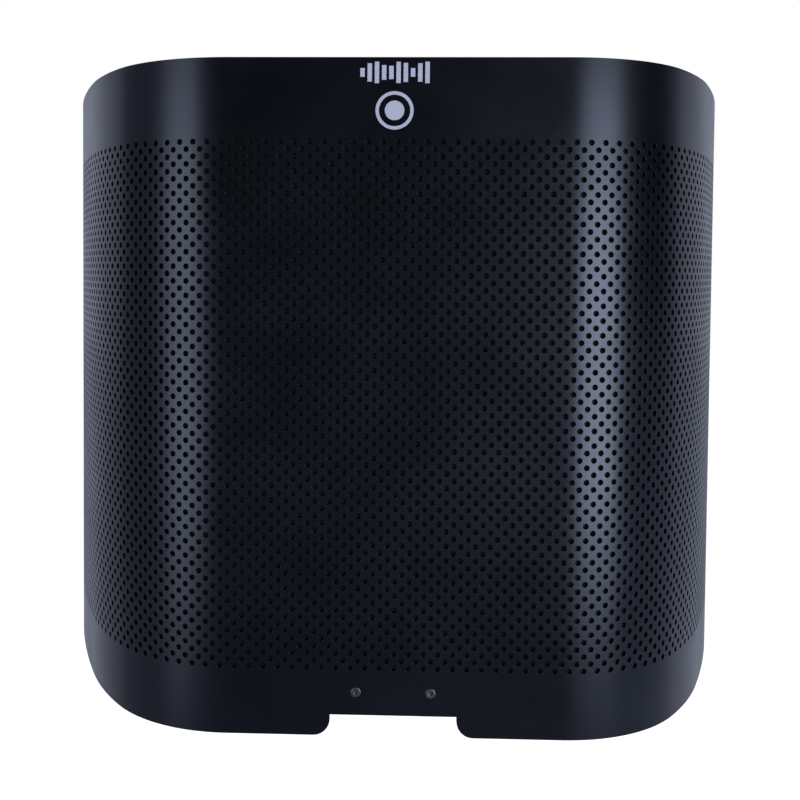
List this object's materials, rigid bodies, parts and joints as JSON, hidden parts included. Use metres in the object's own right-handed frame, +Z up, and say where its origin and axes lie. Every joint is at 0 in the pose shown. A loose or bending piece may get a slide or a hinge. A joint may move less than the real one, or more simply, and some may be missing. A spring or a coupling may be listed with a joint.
{
  "type": "microphone isolation shield",
  "caption": "Stand-mounted curved steel shield lined with foam ridges, on a slotted bar with a stand socket and a height-adjustable threaded post for the microphone.",
  "frame": {"origin": "centre of the stand socket's mouth, where the stand's thread enters", "axes": "+Z up along the stand's thread; +Y from the closed back towards the open side, where the singer stands; +X to the right seen from behind the closed back"},
  "size_m": [0.399, 0.2086, 0.3444],
  "materials": {
    "shell_coat": "satin near-black powder coat on perforated steel sheet",
    "foam": "open-cell acoustic foam, matte charcoal",
    "black_steel": "satin black powder coat on steel",
    "screw_steel": "blackened steel with a worn rim",
    "zinc_steel": "zinc-plated steel",
    "knob_plastic": "moulded nylon, fine texture",
    "insert_brass": "machined brass",
    "turned_steel": "turned steel, black finish",
    "black_screws": "black oxide socket screws",
    "post_chrome": "polished chrome plate"
  },
  "bodies": {
    "mount": {"mount_bar": "black_steel", "stand_socket": "turned_steel", "socket_screws": "black_screws", "post_collar": "turned_steel", "collar_screws": "black_screws"},
    "shield": {"shell": "shell_coat", "foam_left": "foam", "foam_centre": "foam", "foam_right": "foam", "shell_bracket": "black_steel", "bracket_screws": "screw_steel", "bracket_nuts": "zinc_steel", "clamp_bolts": "zinc_steel", "clamp_washers": "zinc_steel"},
    "left_clamp": {"clamp_knob_left": "knob_plastic", "knob_insert_left": "insert_brass"},
    "right_clamp": {"clamp_knob_right": "knob_plastic", "knob_insert_right": "insert_brass"},
    "post": {"mic_post": "post_chrome"},
    "post_clamp": {"thumb_screw": "zinc_steel", "thumb_knob": "knob_plastic"},
    "lock_ring": {"mic_lock_ring": "post_chrome"}
  },
  "joints": [
    {"name": "shield_slide", "type": "slide", "parent": "mount", "child": "shield", "axis": [0, 1, 0], "range_m": [-0.01, 0.038]},
    {"name": "post_slide", "type": "slide", "parent": "mount", "child": "post", "axis": [0, 0, 1], "range_m": [-0.02, 0.02]},
    {"name": "left_clamp_turn", "type": "hinge", "parent": "shield", "child": "left_clamp", "pos_m": [-0.014, -0.068, 0.014], "axis": [0, 0, 1], "continuous": true},
    {"name": "right_clamp_turn", "type": "hinge", "parent": "shield", "child": "right_clamp", "pos_m": [0.014, -0.068, 0.014], "axis": [0, 0, 1], "continuous": true},
    {"name": "post_clamp_turn", "type": "hinge", "parent": "mount", "child": "post_clamp", "pos_m": [0, 0.05, 0.045], "axis": [0, 1, 0], "continuous": true},
    {"name": "lock_ring_turn", "type": "hinge", "parent": "post", "child": "lock_ring", "pos_m": [0, 0.034, 0.085], "axis": [0, 0, 1], "continuous": true}
  ]
}
